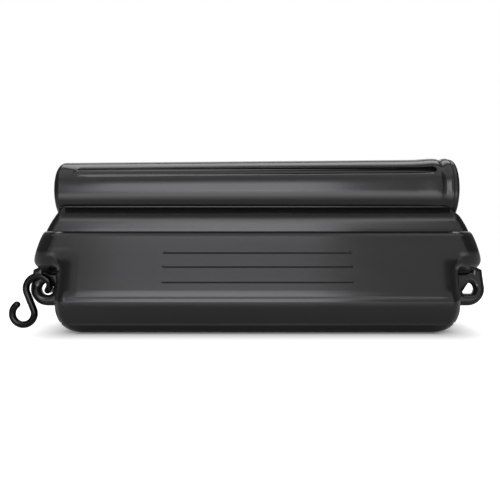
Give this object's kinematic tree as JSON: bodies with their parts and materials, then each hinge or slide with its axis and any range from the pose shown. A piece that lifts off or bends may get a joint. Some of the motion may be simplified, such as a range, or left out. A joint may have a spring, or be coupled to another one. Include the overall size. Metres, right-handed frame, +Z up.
{
  "type": "weighted float",
  "caption": "Hollow moulded float with a sealed tube on top, a deep ballasted body and a pinched eye in a scooped pocket at each end, with an S-hook in one eye",
  "frame": {"origin": "Middle of the flat base, on the resting plane, under the middle of the moulded body", "axes": "+X runs along the float towards the plugged mouth of the tube, +Z is up, -Y is the front with the writing lines"},
  "size_m": [0.4496, 0.1034, 0.1603],
  "materials": {
    "shell_plastic": "satin black moulded polyethylene",
    "plug_plastic": "satin black moulded polyethylene",
    "gasket_rubber": "dull black rubber",
    "ballast_sand": "dry sand, hidden inside",
    "hook_steel": "black coated steel rod, satin"
  },
  "bodies": {
    "root": {"float_shell": "shell_plastic", "end_plug": "plug_plastic", "plug_gasket": "gasket_rubber", "sand_ballast": "ballast_sand", "s_hook": "hook_steel"}
  },
  "joints": []
}
